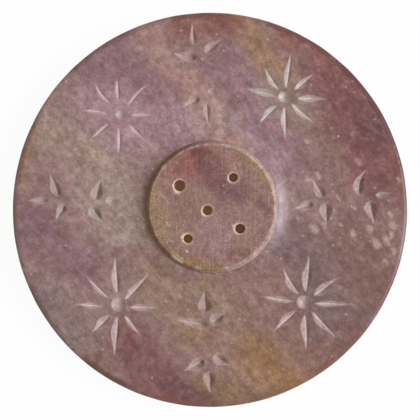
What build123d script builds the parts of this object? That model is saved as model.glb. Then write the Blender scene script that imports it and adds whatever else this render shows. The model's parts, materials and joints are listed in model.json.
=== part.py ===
from build123d import *

import os
from dataclasses import dataclass

# Plate: a turned stone disc that stands flat on its underside
PLATE_DIAMETER = 100.0
PLATE_THICKNESS = 9.5
RIM_ROUND = 0.8
UNDERSIDE_CHAMFER = 0.5

# Boss: the turned plug near the middle, set in a socket in the plate
BOSS_OFF_X = 0.45
BOSS_OFF_Y = 0.6
BOSS_TOP_DIAMETER = 31.8
BOSS_RISE = 3.1
BOSS_FLARE = 0.9
BOSS_EDGE_ROUND = 0.2
SOCKET_DEPTH = 1.0
SOCKET_CLEARANCE = 0.1
SPIGOT_CHAMFER = 0.4

# Cove: the plate's face sweeps up to the foot of the boss
COVE_WIDTH = 5.2
COVE_RISE = 0.95

# Stick holes: drilled right through the boss, so that the socket's floor stops the sticks
MOUTH_BREAK = 0.2

# Cutters start this far outside the stone, and a gouge's shoulders run on this far above its face
CUTTER_OVERRUN = 0.3
SHOULDER_LIFT = 0.05

# Carving: cuts of a V gouge, drawn for a band of this width between the cove and the rim
DRAWN_BAND_WIDTH = 27.1
DIMPLE_DEPTH_SHARE = 0.45

# Across a cut: a V crease under eased shoulders, as shares of the cut's half width
SHOULDER_PLACE = 0.86
SHOULDER_DEPTH = 0.05
CREASE_DEPTH = 0.88

# Along a cut: how far from its head, and the share of its full width there
PETAL_SHAPE = [
    (0, 0.12),
    (0.12, 0.56),
    (0.25, 0.88),
    (0.38, 1),
    (0.52, 0.88),
    (0.66, 0.54),
    (0.8, 0.25),
    (1, 0.07),
]
LEAF_SHAPE = [
    (0, 0.3),
    (0.06, 0.66),
    (0.16, 0.92),
    (0.29, 1),
    (0.45, 0.86),
    (0.62, 0.54),
    (0.8, 0.25),
    (1, 0.07),
]

# Sizes that follow from those above
plate_radius = PLATE_DIAMETER / 2
boss_top_radius = BOSS_TOP_DIAMETER / 2
spigot_radius = boss_top_radius + BOSS_FLARE
socket_radius = spigot_radius + SOCKET_CLEARANCE
socket_floor = PLATE_THICKNESS - SOCKET_DEPTH
cove_top = PLATE_THICKNESS + COVE_RISE
boss_top = PLATE_THICKNESS + BOSS_RISE
cove_radius = socket_radius + COVE_WIDTH
face_radius = plate_radius - RIM_ROUND
band_middle = (cove_radius + face_radius) / 2
carving_scale = (face_radius - cove_radius) / DRAWN_BAND_WIDTH
boss_place = Pos(BOSS_OFF_X, BOSS_OFF_Y, 0)


@dataclass
class StickHole:
    """A drilled hole: its bearing round the boss, its distance from the boss's axis, its diameter."""

    bearing: float
    distance: float
    diameter: float


@dataclass
class Petal:
    """A rosette's cut, along a ray from the flower's middle: its aim, where it starts and ends, its width.

    Bow is how far the cut bends to the left of the ray halfway along it.
    """

    aim: float
    root: float
    reach: float
    width: float
    bow: float = 0.0


@dataclass
class Rosette:
    """A flower of petals about a round dimple. Drift is outward from the middle of the band.

    Dimple_off is how far the dimple stands from the flower's middle.
    """

    bearing: float
    drift: float
    dimple_radius: float
    dimple_off: tuple
    petals: list


@dataclass
class Leaf:
    """A sprig's cut, from its blunt head to its pointed tip, measured from the sprig's stem.

    Bow is how far the cut bends to the left halfway to its tip.
    """

    head: tuple
    tip: tuple
    width: float
    bow: float = 0.0


@dataclass
class Sprig:
    """Three leaves round a stem. Drift is outward from the middle of the band."""

    bearing: float
    drift: float
    leaves: list


# One hole near the middle, and four set in from the boss's edge
STICK_HOLES = {
    "middle": StickHole(bearing=217.0, distance=1.5, diameter=2.5),
    "upper_right": StickHole(bearing=54.4, distance=boss_top_radius - 6.8, diameter=2.3),
    "upper_left": StickHole(bearing=147.1, distance=boss_top_radius - 6.1, diameter=2.8),
    "lower_left": StickHole(bearing=232.7, distance=boss_top_radius - 5.8, diameter=2.3),
    "lower_right": StickHole(bearing=321.8, distance=boss_top_radius - 7.0, diameter=2.5),
}

# Four flowers, each with eight petals that go round it from the right
ROSETTES = {
    "upper_left": Rosette(
        bearing=134.0,
        drift=-2.4,
        dimple_radius=1.1,
        dimple_off=(0.4, 0),
        petals=[
            Petal(aim=0.5, root=3.0, reach=10.5, width=1.3),
            Petal(aim=45, root=3.1, reach=11.8, width=1.2, bow=0.5),
            Petal(aim=93, root=3.8, reach=10.2, width=1.4),
            Petal(aim=125, root=3.4, reach=11.1, width=1.3, bow=0.7),
            Petal(aim=174, root=2.7, reach=9.7, width=1.6, bow=-0.3),
            Petal(aim=221, root=3.3, reach=10.2, width=1.3),
            Petal(aim=268.5, root=3.2, reach=11.1, width=1.3, bow=0.3),
            Petal(aim=316, root=3.7, reach=9.7, width=1.5),
        ],
    ),
    "upper_right": Rosette(
        bearing=56.2,
        drift=-1.7,
        dimple_radius=1.3,
        dimple_off=(-0.3, 0.3),
        petals=[
            Petal(aim=-1, root=3.5, reach=11.0, width=1.9),
            Petal(aim=40, root=3.4, reach=9.9, width=1.9),
            Petal(aim=82, root=2.7, reach=11.9, width=1.9),
            Petal(aim=123, root=2.7, reach=9.6, width=2.0, bow=0.2),
            Petal(aim=167, root=2.4, reach=11.0, width=1.9, bow=-0.2),
            Petal(aim=226, root=2.8, reach=9.1, width=2.2, bow=-0.3),
            Petal(aim=271, root=2.3, reach=10.9, width=2.1),
            Petal(aim=320, root=2.4, reach=10.3, width=2.0),
        ],
    ),
    "lower_left": Rosette(
        bearing=226.8,
        drift=-1.7,
        dimple_radius=1.8,
        dimple_off=(0.1, 0.7),
        petals=[
            Petal(aim=-0.5, root=2.9, reach=10.9, width=1.8),
            Petal(aim=48, root=2.8, reach=11.4, width=2.3, bow=-0.2),
            Petal(aim=93.5, root=3.4, reach=13.0, width=2.4, bow=0.1),
            Petal(aim=135.5, root=3.2, reach=11.7, width=1.6, bow=0.2),
            Petal(aim=176, root=3.7, reach=10.9, width=1.7),
            Petal(aim=224, root=3.0, reach=9.4, width=2.6),
            Petal(aim=265.5, root=2.5, reach=12.3, width=2.7),
            Petal(aim=308, root=2.6, reach=9.7, width=1.6, bow=0.1),
        ],
    ),
    "lower_right": Rosette(
        bearing=315.1,
        drift=-2.0,
        dimple_radius=1.7,
        dimple_off=(-0.1, 0.3),
        petals=[
            Petal(aim=-1.5, root=2.7, reach=12.5, width=1.6),
            Petal(aim=37, root=3.2, reach=10.8, width=2.6),
            Petal(aim=84.5, root=3.1, reach=12.2, width=2.9, bow=-0.2),
            Petal(aim=121, root=2.7, reach=10.3, width=2.4, bow=0.3),
            Petal(aim=171, root=2.7, reach=11.6, width=1.6),
            Petal(aim=222, root=2.8, reach=10.7, width=2.4),
            Petal(aim=272, root=3.0, reach=11.8, width=2.7, bow=0.2),
            Petal(aim=312.5, root=3.1, reach=11.6, width=2.5),
        ],
    ),
}

# Sprigs in pairs between the flowers: one opens towards the rim, one towards the boss
SPRIGS = {
    "upper_outer": Sprig(
        bearing=95.5,
        drift=2.7,
        leaves=[
            Leaf(head=(-0.5, 3.9), tip=(-0.9, 9.5), width=1.6),
            Leaf(head=(-0.1, 0.2), tip=(-5.7, 1.3), width=2.9),
            Leaf(head=(2.4, 1.7), tip=(6.8, 5.1), width=2.6),
        ],
    ),
    "upper_inner": Sprig(
        bearing=92.6,
        drift=-5.8,
        leaves=[
            Leaf(head=(-1.6, -1.7), tip=(-5.7, -3.9), width=2.8),
            Leaf(head=(0.9, 0.1), tip=(4.2, -0.3), width=1.8),
            Leaf(head=(0.4, -3.1), tip=(0.9, -8.5), width=2.0),
        ],
    ),
    "left_outer": Sprig(
        bearing=177.2,
        drift=1.4,
        leaves=[
            Leaf(head=(-1.4, 1.7), tip=(-3.5, 7.3), width=2.8),
            Leaf(head=(-4.2, 0.5), tip=(-9.4, 0.4), width=1.9),
            Leaf(head=(0.1, -0.8), tip=(-2.1, -4.6), width=2.5),
        ],
    ),
    "left_inner": Sprig(
        bearing=178.9,
        drift=-4.8,
        leaves=[
            Leaf(head=(1.7, 1.9), tip=(3.1, 6.9), width=3.4),
            Leaf(head=(4.5, 1.4), tip=(9.1, 2.3), width=2.3),
            Leaf(head=(0.6, -0.1), tip=(3.8, -4.0), width=3.5),
        ],
    ),
    "right_inner": Sprig(
        bearing=4.0,
        drift=-5.5,
        leaves=[
            Leaf(head=(-1.4, 1.2), tip=(-4.1, 5.4), width=3.0),
            Leaf(head=(-4.2, -0.7), tip=(-8.9, -2.0), width=2.7),
            Leaf(head=(-0.7, -0.7), tip=(-0.6, -6.1), width=3.5),
        ],
    ),
    "right_outer": Sprig(
        bearing=5.5,
        drift=3.8,
        leaves=[
            Leaf(head=(-1.5, 0.0), tip=(0.4, 6.3), width=3.2, bow=0.8),
            Leaf(head=(2.9, -0.3), tip=(7.1, 0.4), width=1.7),
            Leaf(head=(1.2, -1.8), tip=(2.4, -7.4), width=3.6),
        ],
    ),
    "lower_inner": Sprig(
        bearing=268.8,
        drift=-6.0,
        leaves=[
            Leaf(head=(-0.6, 3.8), tip=(-0.9, 8.9), width=3.8),
            Leaf(head=(-0.3, 0.4), tip=(-7.8, 1.7), width=2.8),
            Leaf(head=(0.9, 1.0), tip=(4.8, 3.5), width=3.2),
        ],
    ),
    "lower_outer": Sprig(
        bearing=270.1,
        drift=1.6,
        leaves=[
            Leaf(head=(-1.8, -1.1), tip=(-6.6, -3.6), width=3.3),
            Leaf(head=(0.9, 0.2), tip=(5.2, -2.3), width=3.2),
            Leaf(head=(-0.3, -3.9), tip=(-0.1, -8.9), width=3.5),
        ],
    ),
}


def plate_blank():
    """The plate as turned, with its cove and its socket where the boss stands."""
    rim_top = (plate_radius, PLATE_THICKNESS - RIM_ROUND)
    face_edge = (face_radius, PLATE_THICKNESS)
    disc_profile = [
        Polyline(
            (0, PLATE_THICKNESS),
            (0, 0),
            (plate_radius - UNDERSIDE_CHAMFER, 0),
            (plate_radius, UNDERSIDE_CHAMFER),
            rim_top,
        ),
        TangentArc(rim_top, face_edge, tangent=(0, 1)),
        Line(face_edge, (0, PLATE_THICKNESS)),
    ]
    cove_foot = (cove_radius, PLATE_THICKNESS)
    cove_lip = (socket_radius, cove_top)
    cove_profile = [
        TangentArc(cove_foot, cove_lip, tangent=(-1, 0)),
        Polyline(cove_lip, (0, cove_top), (0, PLATE_THICKNESS), cove_foot),
    ]
    socket_profile = Polyline(
        (0, socket_floor),
        (socket_radius, socket_floor),
        (socket_radius, cove_top + CUTTER_OVERRUN),
        (0, cove_top + CUTTER_OVERRUN),
        (0, socket_floor),
    )
    disc, cove, socket = (
        revolve(Plane.XZ * make_face(profile), Axis.Z)
        for profile in (disc_profile, cove_profile, socket_profile)
    )
    return disc + boss_place * cove - boss_place * socket


def gouge_section(half_width):
    """The cutter across a cut: a V crease under eased shoulders, open above the face."""
    edge = half_width + SHOULDER_LIFT * (1 - SHOULDER_PLACE) / SHOULDER_DEPTH
    right = [
        (edge, CUTTER_OVERRUN),
        (edge, SHOULDER_LIFT),
        (SHOULDER_PLACE * half_width, -SHOULDER_DEPTH * half_width),
    ]
    left = [(-across, height) for across, height in reversed(right)]
    crease = (0, -CREASE_DEPTH * half_width)
    return Plane.YZ * make_face(Polyline(*right, crease, *left, close=True))


def gouge_cut(head, tip, width, shape, bow=0.0):
    """A cut in the plate's face, widest near its head and drawn out to a thin tail at its tip."""
    path = tip - head
    sections = []
    for share, fullness in shape:
        aside = 4 * bow * share * (1 - share)
        sections.append(Pos(share * path.length, aside, 0) * gouge_section(fullness * width / 2))
    cutter = loft(sections, ruled=True)
    aim = Vector(1, 0, 0).get_signed_angle(path, Vector(0, 0, 1))
    return Location((head.X, head.Y, PLATE_THICKNESS), (0, 0, aim)) * cutter


def dimple_cut(middle, radius):
    """A round hollow in the plate's face."""
    depth = radius * DIMPLE_DEPTH_SHARE
    ball_radius = (radius**2 + depth**2) / (2 * depth)
    return Pos(middle.X, middle.Y, PLATE_THICKNESS + ball_radius - depth) * Sphere(ball_radius)


def on_band(motif):
    """The middle of a rosette or sprig on the carved band."""
    distance = band_middle + motif.drift * carving_scale
    return Vector(distance, 0, 0).rotate(Axis.Z, motif.bearing)


def rosette_cuts(rosette):
    """A flower's dimple and petals."""
    middle = on_band(rosette)
    dimple = middle + Vector(*rosette.dimple_off) * carving_scale
    cuts = [dimple_cut(dimple, rosette.dimple_radius * carving_scale)]
    for petal in rosette.petals:
        ray = Vector(carving_scale, 0, 0).rotate(Axis.Z, petal.aim)
        head = middle + ray * petal.root
        tip = middle + ray * petal.reach
        cuts.append(gouge_cut(head, tip, petal.width * carving_scale, PETAL_SHAPE, petal.bow))
    return cuts


def sprig_cuts(sprig):
    """A sprig's leaves."""
    stem = on_band(sprig)
    cuts = []
    for leaf in sprig.leaves:
        head = stem + Vector(*leaf.head) * carving_scale
        tip = stem + Vector(*leaf.tip) * carving_scale
        cuts.append(gouge_cut(head, tip, leaf.width * carving_scale, LEAF_SHAPE, leaf.bow))
    return cuts


def carved_plate():
    """The turned plate with its flowers and sprigs."""
    cuts = []
    for rosette in ROSETTES.values():
        cuts += rosette_cuts(rosette)
    for sprig in SPRIGS.values():
        cuts += sprig_cuts(sprig)
    return plate_blank() - cuts


def boss_blank():
    """The boss as turned: a straight spigot, a flared flank and a softened top edge."""
    profile = Polyline(
        (0, socket_floor),
        (spigot_radius - SPIGOT_CHAMFER, socket_floor),
        (spigot_radius, socket_floor + SPIGOT_CHAMFER),
        (spigot_radius, cove_top),
        (boss_top_radius, boss_top),
        (0, boss_top),
        (0, socket_floor),
    )
    blank = revolve(Plane.XZ * make_face(profile), Axis.Z)
    top_edge = blank.faces().sort_by(Axis.Z)[-1].edges()
    return fillet(top_edge, BOSS_EDGE_ROUND)


def stick_hole(hole):
    """A hole through the boss with a broken mouth, as the solid to take away."""
    centre = Vector(hole.distance, 0, 0).rotate(Axis.Z, hole.bearing)
    radius = hole.diameter / 2
    bottom = socket_floor - CUTTER_OVERRUN
    profile = Polyline(
        (0, bottom),
        (radius, bottom),
        (radius, boss_top - MOUTH_BREAK),
        (radius + 2 * MOUTH_BREAK, boss_top + MOUTH_BREAK),
        (0, boss_top + MOUTH_BREAK),
        (0, bottom),
    )
    return Pos(centre.X, centre.Y, 0) * revolve(Plane.XZ * make_face(profile), Axis.Z)


def stick_boss():
    """The plug that takes the sticks, standing in its socket."""
    plug = boss_blank() - [stick_hole(hole) for hole in STICK_HOLES.values()]
    return boss_place * plug


NODES = {
    "carved_plate": carved_plate,
    "stick_boss": stick_boss,
}

os.makedirs("parts", exist_ok=True)
for node, make in NODES.items():
    export_step(make(), f"parts/{node}.step")
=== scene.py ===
import json
from dataclasses import dataclass
from math import cos, pi, radians, sin

import bpy
import numpy as np
from mathutils import Matrix, Vector, noise
from mathutils.bvhtree import BVHTree
from mathutils.geometry import delaunay_2d_cdt


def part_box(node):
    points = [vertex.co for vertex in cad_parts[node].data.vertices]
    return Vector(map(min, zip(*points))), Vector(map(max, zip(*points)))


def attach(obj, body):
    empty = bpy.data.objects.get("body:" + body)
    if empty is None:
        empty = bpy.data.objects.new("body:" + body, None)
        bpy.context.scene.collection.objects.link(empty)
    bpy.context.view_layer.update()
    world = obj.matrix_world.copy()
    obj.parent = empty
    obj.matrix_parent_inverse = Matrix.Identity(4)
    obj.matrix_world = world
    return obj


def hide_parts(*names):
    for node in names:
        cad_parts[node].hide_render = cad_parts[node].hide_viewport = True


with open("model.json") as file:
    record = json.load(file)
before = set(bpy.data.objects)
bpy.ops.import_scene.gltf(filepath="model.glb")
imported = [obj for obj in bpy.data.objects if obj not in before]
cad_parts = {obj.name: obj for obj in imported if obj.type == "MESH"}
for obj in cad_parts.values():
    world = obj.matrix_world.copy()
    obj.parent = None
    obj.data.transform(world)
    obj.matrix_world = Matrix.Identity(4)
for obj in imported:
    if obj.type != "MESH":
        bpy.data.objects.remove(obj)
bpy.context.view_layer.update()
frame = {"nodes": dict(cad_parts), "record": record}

MM = 0.001

# Plate, in mm
FACE = 9.5
RIM_ROUND = 0.8
UNDERSIDE_CHAMFER = 0.5
COVE_RADIUS = 22.1
JOINT_LINE = 0.03

# Boss, in mm
BOSS_TOP_RADIUS = 15.9
SPIGOT_CHAMFER = 0.4

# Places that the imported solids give, in mm
plate_low, plate_high = (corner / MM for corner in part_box("carved_plate"))
boss_low, boss_high = (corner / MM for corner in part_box("stick_boss"))
plate_radius = plate_high.x
face_radius = plate_radius - RIM_ROUND
cove_top = plate_high.z
boss_x, boss_y = ((boss_low + boss_high) / 2).xy
spigot_radius = (boss_high.x - boss_low.x) / 2
lip_radius = spigot_radius + JOINT_LINE
socket_floor = boss_low.z
boss_top = boss_high.z

# Hand finish: how far edges are worn round, and how far lines wander, in mm
MAP_STEP = 0.08
EDGE_WEAR = 0.13
WANDER = 0.06
WANDER_SIZE = 2.4
UNDULATION = 0.035
UNDULATION_SIZE = 9.0
LEVEL_BY_RIM = 2.0

# Rim: dents in its outline and nicks in its edge, in mm
DENT = 0.05
DENT_SIZE = 5.0
NICK = 0.5
NICK_SIZE = 0.9
NICK_RARITY = 0.35
NICK_WEAR = 0.6

# Cuts: how deep they count as cut, and how far their edges and hollows reach, in mm
CUT_START = 0.01
CLOSE_REACH = 0.3
NEARBY_REACH = 0.8
HOLLOW_REACH = 0.2
CREASE_HOLLOW = 0.072

# What lies in the cuts: dust, less in sprigs than in flowers. Walls that face left, away from the lamp,
# hold less dust and get a dark painted shade, stronger in sprigs, so shade is painted on them and light
# on the walls that face the lamp
DUST_DEPTH = 0.1
WALL_SLOPE = 0.1
LEFT_WALL_PAINTED_SHADE = 0.6
SPRIG_DUST = 0.8
SPRIG_PAINTED_SHADE = 1.7

# Flowers lie by the plate's diagonals: how near to one a cut belongs to a flower
FLOWER_START = 0.55
FLOWER_FADE = 0.25

# Spacing of the vertices, in mm
CUT_GAP = 0.16
NEAR_GAP = 0.36
OPEN_GAP = 0.62
BOSS_GAP = 0.34
MOUTH_GAP = 0.12
FOOT_GAP = 3.0
ROW_SHARE = 0.866
IN_CUT = 0.03
BY_CUT = 0.02
BY_MOUTH = 1.3
MOUTH_CLEAR = 0.09
FOOT_CLEAR = 0.5
MOUTH_SLACK = 0.04
LIP_SLACK = 0.9999
UNDERSIDE_INSETS = (UNDERSIDE_CHAMFER, 4, 12, 24, 38)
SHARP_ANGLE = radians(34)

# Number of vertices round each ring
RIM_COUNT = 900
LIP_COUNT = 320
BOSS_COUNT = 480
MOUTH_COUNT = 84


@dataclass
class Chip:
    """A broken place on an edge: its bearing, its half spread in degrees and how far it reaches."""

    bearing: float
    spread: float
    reach: float

    def reach_at(self, bearings):
        """How far the break reaches at bearings in radians."""
        away = np.angle(np.exp(1j * (bearings - radians(self.bearing))))
        return self.reach * np.exp(-((away / radians(self.spread)) ** 2))


@dataclass
class Mouth:
    """A stick hole's mouth: its middle, its radius and its chips."""

    x: float
    y: float
    radius: float
    chips: list


# Mouths of the stick holes: how far they are broken and rubbed pale, in mm and shares
MOUTH_BREAK = 0.28
MOUTH_RAGGED = 0.35
MOUTH_RAGGED_SIZE = 0.35
BREAK_CURVE = 1.6
BREAK_PALE = 1.8
HALO_REACH = 0.5
HALO_START = 1.3
HALO_SHARE = 0.4
THROAT_WAVER = 0.05
THROAT_WAVER_SIZE = 0.9
BORE_WAVER = 0.04
BORE_WAVER_SIZE = 0.5
MOUTH_BORE = 0.2
CHIP_DEPTH = 0.5
MOUTH_CHIPS = {
    "stick_hole_middle": [Chip(225, 50, 0.4)],
    "stick_hole_upper_right": [Chip(215, 40, 0.35)],
    "stick_hole_upper_left": [Chip(255, 40, 0.8), Chip(350, 18, 0.5), Chip(185, 25, 0.3)],
    "stick_hole_lower_left": [Chip(165, 60, 0.45)],
    "stick_hole_lower_right": [Chip(160, 45, 0.5), Chip(235, 30, 0.3)],
}

# Edge and flank of the boss, in mm, with the edge rubbed pale, and palest towards one bearing
ARRIS_ROUND = 0.22
ARRIS_ROUGH = 0.1
ARRIS_ROUGH_SIZE = 1.1
ARRIS_PALE = 0.3
ARRIS_PALE_SIDE = 0.25
PALE_BEARING = radians(30)
FLANK_UNEVEN = 0.05
FLANK_UNEVEN_SIZE = 1.8
FLANK_UNEVEN_ROUND = 14
ARRIS_CHIPS = [
    Chip(233, 4, 0.75),
    Chip(240, 2.5, 0.5),
    Chip(214, 3, 0.45),
    Chip(258, 3, 0.4),
    Chip(141, 3, 0.4),
    Chip(103, 2, 0.3),
    Chip(76, 2.5, 0.35),
    Chip(12, 2, 0.3),
    Chip(313, 3, 0.35),
    Chip(284, 2, 0.3),
]

mouths = []
for mount in frame["record"]["mounts"]:
    if mount["kind"] == "bore":
        mount_x, mount_y, _ = mount["pos_m"]
        chips = MOUTH_CHIPS[mount["name"]]
        mouths.append(Mouth(mount_x / MM, mount_y / MM, mount["dims"]["r_mm"], chips))


def off_boss(x, y):
    """How far points lie from the boss's middle, in mm."""
    return np.hypot(x - boss_x, y - boss_y)


def off_mouths(x, y):
    """How far points lie outside the nearest stick hole, in mm."""
    return np.min([np.hypot(x - m.x, y - m.y) - m.radius for m in mouths], axis=0)


class HeightMap:
    """Heights on a square map about the origin, in mm, with rows along Y and columns along X."""

    def __init__(self, half, heights):
        self.half = half
        self.heights = heights

    def softened(self, spread):
        """The same map blurred by a bell curve of that spread."""
        reach = int(3 * spread / MAP_STEP) + 1
        taps = np.exp(-0.5 * (np.arange(-reach, reach + 1) * MAP_STEP / spread) ** 2)
        taps /= taps.sum()
        blurred = self.heights
        for _ in range(2):
            padded = np.pad(blurred, ((reach, reach), (0, 0)), mode="edge")
            rows = len(blurred)
            blurred = sum(tap * padded[k : k + rows] for k, tap in enumerate(taps)).T
        return HeightMap(self.half, blurred)

    def at(self, x, y):
        """Heights at points, read between the places of the map."""
        last = len(self.heights) - 1.001
        column = np.clip((x + self.half) / MAP_STEP, 0, last)
        row = np.clip((y + self.half) / MAP_STEP, 0, last)
        left = column.astype(int)
        below = row.astype(int)
        across = column - left
        up = row - below
        lower = self.heights[below, left] * (1 - across) + self.heights[below, left + 1] * across
        upper = self.heights[below + 1, left] * (1 - across) + self.heights[below + 1, left + 1] * across
        return lower * (1 - up) + upper * up


def map_of(node_name, half):
    """The height map of a CAD node seen from above."""
    mesh = frame["nodes"][node_name].data
    tree = BVHTree.FromPolygons([v.co for v in mesh.vertices], [p.vertices for p in mesh.polygons])
    places = np.arange(-half, half + MAP_STEP / 2, MAP_STEP)
    down = Vector((0, 0, -1))
    start = 2 * boss_top * MM
    heights = np.zeros((len(places), len(places)))
    for row, y in enumerate(places):
        for column, x in enumerate(places):
            hit = tree.ray_cast(Vector((x * MM, y * MM, start)), down)[0]
            if hit:
                heights[row, column] = hit.z / MM
    return HeightMap(half, heights), places


def drift(x, y, size, layer):
    """A smooth random field between about -1 and 1 with features of that size."""
    pairs = zip((x / size).tolist(), (y / size).tolist())
    return np.array([noise.noise(Vector((a, b, layer))) for a, b in pairs])


def spread_points(half, gap):
    """Points in even rows over a square."""
    rows = np.arange(-half, half, gap * ROW_SHARE)
    columns = np.arange(-half, half, gap)
    x, y = np.meshgrid(columns, rows)
    x = x + (np.arange(len(rows)) % 2)[:, None] * gap / 2
    return x.ravel(), y.ravel()


def circle(count):
    """Bearings round a ring, in radians."""
    return np.arange(count) * 2 * pi / count


class Shell:
    """The vertices, faces and surface marks of one closed mesh, in mm."""

    MARKS = ("dust", "painted_shade", "crease", "wear", "bore")

    def __init__(self):
        self.points = []
        self.faces = []
        self.marks = {name: [] for name in self.MARKS}

    def add(self, x, y, z, **marks):
        """Adds vertices and returns their numbers."""
        first = len(self.points)
        x, y, z = np.broadcast_arrays(x, y, z)
        self.points.extend(zip(x.tolist(), y.tolist(), z.tolist()))
        for name in self.MARKS:
            self.marks[name].extend(np.broadcast_to(marks.get(name, 0.0), x.shape).tolist())
        return np.arange(first, first + len(x))

    def band(self, upper, lower):
        """Faces between two rings, outside when the first one is above."""
        corners = np.stack([upper, lower, np.roll(lower, -1), np.roll(upper, -1)], 1)
        self.faces.extend(corners.tolist())

    def cap(self, ring, middle):
        """A fan that closes a ring, facing down."""
        corners = np.stack([np.roll(ring, -1), ring, np.full(len(ring), middle)], 1)
        self.faces.extend(corners.tolist())

    def sheet(self, loops, x, y, surface, inside, up=True):
        """Triangles over new points between closed loops of vertices."""
        loop_points = [np.array([self.points[n][:2] for n in loop]) for loop in loops]
        flat = np.vstack(loop_points + [np.stack([x, y], 1)])
        borders = []
        first = 0
        for loop in loops:
            count = len(loop)
            borders += [(first + k, first + (k + 1) % count) for k in range(count)]
            first += count
        made = delaunay_2d_cdt([Vector(p) for p in flat], borders, [], 0, 1e-7)
        origins = np.array([origin[0] for origin in made[3]])
        added = self.add(x, y, **surface(x, y))
        numbers = np.concatenate([*loops, added])
        triangles = origins[np.array(made[2])]
        middles = flat[triangles].mean(1)
        triangles = numbers[triangles[inside(middles[:, 0], middles[:, 1])]]
        if not up:
            triangles = triangles[:, ::-1]
        self.faces.extend(triangles.tolist())

    def piece(self, name, material):
        """The finished Blender object, riding on the CAD body."""
        mesh = bpy.data.meshes.new(name)
        mesh.from_pydata(np.array(self.points) * MM, [], self.faces)
        for mark, values in self.marks.items():
            layer = mesh.attributes.new(mark, "FLOAT", "POINT")
            layer.data.foreach_set("value", np.array(values, np.float32))
        mesh.polygons.foreach_set("use_smooth", np.ones(len(mesh.polygons), bool))
        mesh.set_sharp_from_angle(angle=SHARP_ANGLE)
        mesh.materials.append(material)
        made = bpy.data.objects.new(name, mesh)
        bpy.context.scene.collection.objects.link(made)
        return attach(made, "root")


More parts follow.
